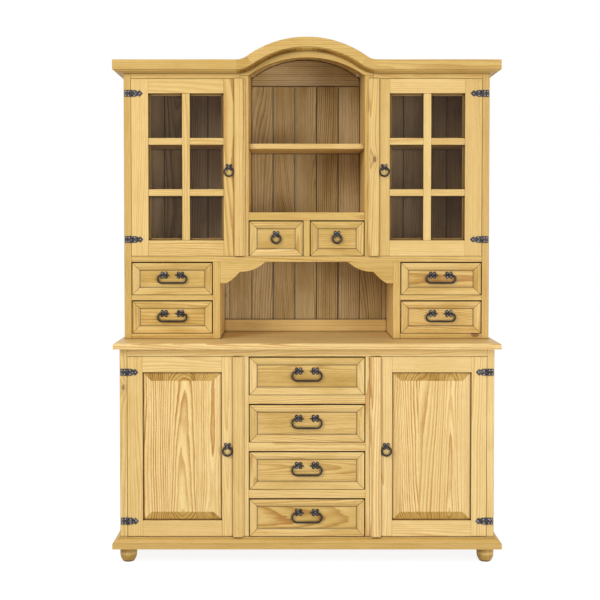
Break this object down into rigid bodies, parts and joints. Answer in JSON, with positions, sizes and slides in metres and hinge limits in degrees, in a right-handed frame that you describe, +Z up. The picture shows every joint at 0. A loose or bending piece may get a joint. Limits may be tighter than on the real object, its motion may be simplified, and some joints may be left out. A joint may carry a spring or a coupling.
{
  "type": "display cabinet",
  "caption": "Waxed pine dresser: panelled cupboards and drawers below a counter, with a glazed hutch above it that has small drawers, an open niche and an arched cornice.",
  "frame": {"origin": "on the floor under the centre of the bounding box", "axes": "+Z up, the front looks along -Y, +X to the right as seen from the front"},
  "size_m": [1.638, 0.5, 2.1978],
  "materials": {
    "pine": "waxed pine, honey yellow, satin",
    "back_pine": "waxed pine boards in shade, satin",
    "iron": "black hammered iron",
    "glass": "clear window glass"
  },
  "bodies": {
    "carcass": {"feet": "pine", "plinth": "pine", "base_sides": "pine", "base_boards": "pine", "drawer_runners": "pine", "base_face_frame": "pine", "base_back_boards": "back_pine", "counter_top": "pine", "hutch_sides": "pine", "hutch_boards": "pine", "hutch_face_frame": "pine", "hutch_back_boards": "back_pine", "cornice": "pine", "fixed_hinge_leaves": "iron"},
    "base_drawer_1": {"base_drawer_1": "pine", "base_rosettes_1": "iron"},
    "base_bail_1": {"base_bail_1": "iron"},
    "base_drawer_2": {"base_drawer_2": "pine", "base_rosettes_2": "iron"},
    "base_bail_2": {"base_bail_2": "iron"},
    "base_drawer_3": {"base_drawer_3": "pine", "base_rosettes_3": "iron"},
    "base_bail_3": {"base_bail_3": "iron"},
    "base_drawer_4": {"base_drawer_4": "pine", "base_rosettes_4": "iron"},
    "base_bail_4": {"base_bail_4": "iron"},
    "left_drawer_upper": {"left_drawer_upper": "pine", "left_rosettes_upper": "iron"},
    "left_bail_upper": {"left_bail_upper": "iron"},
    "left_drawer_lower": {"left_drawer_lower": "pine", "left_rosettes_lower": "iron"},
    "left_bail_lower": {"left_bail_lower": "iron"},
    "small_drawer_left": {"small_drawer_left": "pine", "small_rosette_left": "iron"},
    "small_ring_left": {"small_ring_left": "iron"},
    "right_drawer_upper": {"right_drawer_upper": "pine", "right_rosettes_upper": "iron"},
    "right_bail_upper": {"right_bail_upper": "iron"},
    "right_drawer_lower": {"right_drawer_lower": "pine", "right_rosettes_lower": "iron"},
    "right_bail_lower": {"right_bail_lower": "iron"},
    "small_drawer_right": {"small_drawer_right": "pine", "small_rosette_right": "iron"},
    "small_ring_right": {"small_ring_right": "iron"},
    "cupboard_door_left": {"cupboard_door_left": "pine", "cupboard_panel_left": "pine", "cupboard_iron_left": "iron"},
    "cupboard_ring_left": {"cupboard_ring_left": "iron"},
    "cupboard_door_right": {"cupboard_door_right": "pine", "cupboard_panel_right": "pine", "cupboard_iron_right": "iron"},
    "cupboard_ring_right": {"cupboard_ring_right": "iron"},
    "glazed_door_left": {"glazed_door_left": "pine", "glass_left": "glass", "glazed_iron_left": "iron"},
    "glazed_ring_left": {"glazed_ring_left": "iron"},
    "glazed_door_right": {"glazed_door_right": "pine", "glass_right": "glass", "glazed_iron_right": "iron"},
    "glazed_ring_right": {"glazed_ring_right": "iron"}
  },
  "joints": [
    {"name": "base_drawer_1_slide", "type": "slide", "parent": "carcass", "child": "base_drawer_1", "axis": [0, -1, 0], "range_m": [0, 0.33]},
    {"name": "base_bail_1_swing", "type": "hinge", "parent": "base_drawer_1", "child": "base_bail_1", "pos_m": [0, -0.2188, 0.80094], "axis": [-1, 0, 0], "range_deg": [0, 150]},
    {"name": "base_drawer_2_slide", "type": "slide", "parent": "carcass", "child": "base_drawer_2", "axis": [0, -1, 0], "range_m": [0, 0.33]},
    {"name": "base_bail_2_swing", "type": "hinge", "parent": "base_drawer_2", "child": "base_bail_2", "pos_m": [0, -0.2188, 0.60381], "axis": [-1, 0, 0], "range_deg": [0, 150]},
    {"name": "base_drawer_3_slide", "type": "slide", "parent": "carcass", "child": "base_drawer_3", "axis": [0, -1, 0], "range_m": [0, 0.33]},
    {"name": "base_bail_3_swing", "type": "hinge", "parent": "base_drawer_3", "child": "base_bail_3", "pos_m": [0, -0.2188, 0.40669], "axis": [-1, 0, 0], "range_deg": [0, 150]},
    {"name": "base_drawer_4_slide", "type": "slide", "parent": "carcass", "child": "base_drawer_4", "axis": [0, -1, 0], "range_m": [0, 0.33]},
    {"name": "base_bail_4_swing", "type": "hinge", "parent": "base_drawer_4", "child": "base_bail_4", "pos_m": [0, -0.2188, 0.20956], "axis": [-1, 0, 0], "range_deg": [0, 150]},
    {"name": "left_drawer_upper_slide", "type": "slide", "parent": "carcass", "child": "left_drawer_upper", "axis": [0, -1, 0], "range_m": [0, 0.22]},
    {"name": "left_bail_upper_swing", "type": "hinge", "parent": "left_drawer_upper", "child": "left_bail_upper", "pos_m": [-0.5735, -0.0848, 1.193], "axis": [-1, 0, 0], "range_deg": [0, 150]},
    {"name": "left_drawer_lower_slide", "type": "slide", "parent": "carcass", "child": "left_drawer_lower", "axis": [0, -1, 0], "range_m": [0, 0.22]},
    {"name": "left_bail_lower_swing", "type": "hinge", "parent": "left_drawer_lower", "child": "left_bail_lower", "pos_m": [-0.5735, -0.0848, 1.029], "axis": [-1, 0, 0], "range_deg": [0, 150]},
    {"name": "small_drawer_left_slide", "type": "slide", "parent": "carcass", "child": "small_drawer_left", "axis": [0, -1, 0], "range_m": [0, 0.22]},
    {"name": "small_ring_left_swing", "type": "hinge", "parent": "small_drawer_left", "child": "small_ring_left", "pos_m": [-0.13, -0.0848, 1.3675], "axis": [-1, 0, 0], "range_deg": [0, 150]},
    {"name": "right_drawer_upper_slide", "type": "slide", "parent": "carcass", "child": "right_drawer_upper", "axis": [0, -1, 0], "range_m": [0, 0.22]},
    {"name": "right_bail_upper_swing", "type": "hinge", "parent": "right_drawer_upper", "child": "right_bail_upper", "pos_m": [0.5735, -0.0848, 1.193], "axis": [-1, 0, 0], "range_deg": [0, 150]},
    {"name": "right_drawer_lower_slide", "type": "slide", "parent": "carcass", "child": "right_drawer_lower", "axis": [0, -1, 0], "range_m": [0, 0.22]},
    {"name": "right_bail_lower_swing", "type": "hinge", "parent": "right_drawer_lower", "child": "right_bail_lower", "pos_m": [0.5735, -0.0848, 1.029], "axis": [-1, 0, 0], "range_deg": [0, 150]},
    {"name": "small_drawer_right_slide", "type": "slide", "parent": "carcass", "child": "small_drawer_right", "axis": [0, -1, 0], "range_m": [0, 0.22]},
    {"name": "small_ring_right_swing", "type": "hinge", "parent": "small_drawer_right", "child": "small_ring_right", "pos_m": [0.13, -0.0848, 1.3675], "axis": [-1, 0, 0], "range_deg": [0, 150]},
    {"name": "cupboard_door_left_hinge", "type": "hinge", "parent": "carcass", "child": "cupboard_door_left", "pos_m": [-0.74625, -0.2211, 0.48825], "axis": [0, 0, -1], "range_deg": [0, 165]},
    {"name": "cupboard_ring_left_swing", "type": "hinge", "parent": "cupboard_door_left", "child": "cupboard_ring_left", "pos_m": [-0.33, -0.2263, 0.48825], "axis": [-1, 0, 0], "range_deg": [0, 150]},
    {"name": "cupboard_door_right_hinge", "type": "hinge", "parent": "carcass", "child": "cupboard_door_right", "pos_m": [0.74625, -0.2211, 0.48825], "axis": [0, 0, 1], "range_deg": [0, 165]},
    {"name": "cupboard_ring_right_swing", "type": "hinge", "parent": "cupboard_door_right", "child": "cupboard_ring_right", "pos_m": [0.33, -0.2263, 0.48825], "axis": [-1, 0, 0], "range_deg": [0, 150]},
    {"name": "glazed_door_left_hinge", "type": "hinge", "parent": "carcass", "child": "glazed_door_left", "pos_m": [-0.74625, -0.0871, 1.6525], "axis": [0, 0, -1], "range_deg": [0, 165]},
    {"name": "glazed_ring_left_swing", "type": "hinge", "parent": "glazed_door_left", "child": "glazed_ring_left", "pos_m": [-0.33025, -0.0923, 1.6525], "axis": [-1, 0, 0], "range_deg": [0, 150]},
    {"name": "glazed_door_right_hinge", "type": "hinge", "parent": "carcass", "child": "glazed_door_right", "pos_m": [0.74625, -0.0871, 1.6525], "axis": [0, 0, 1], "range_deg": [0, 165]},
    {"name": "glazed_ring_right_swing", "type": "hinge", "parent": "glazed_door_right", "child": "glazed_ring_right", "pos_m": [0.33025, -0.0923, 1.6525], "axis": [-1, 0, 0], "range_deg": [0, 150]}
  ]
}
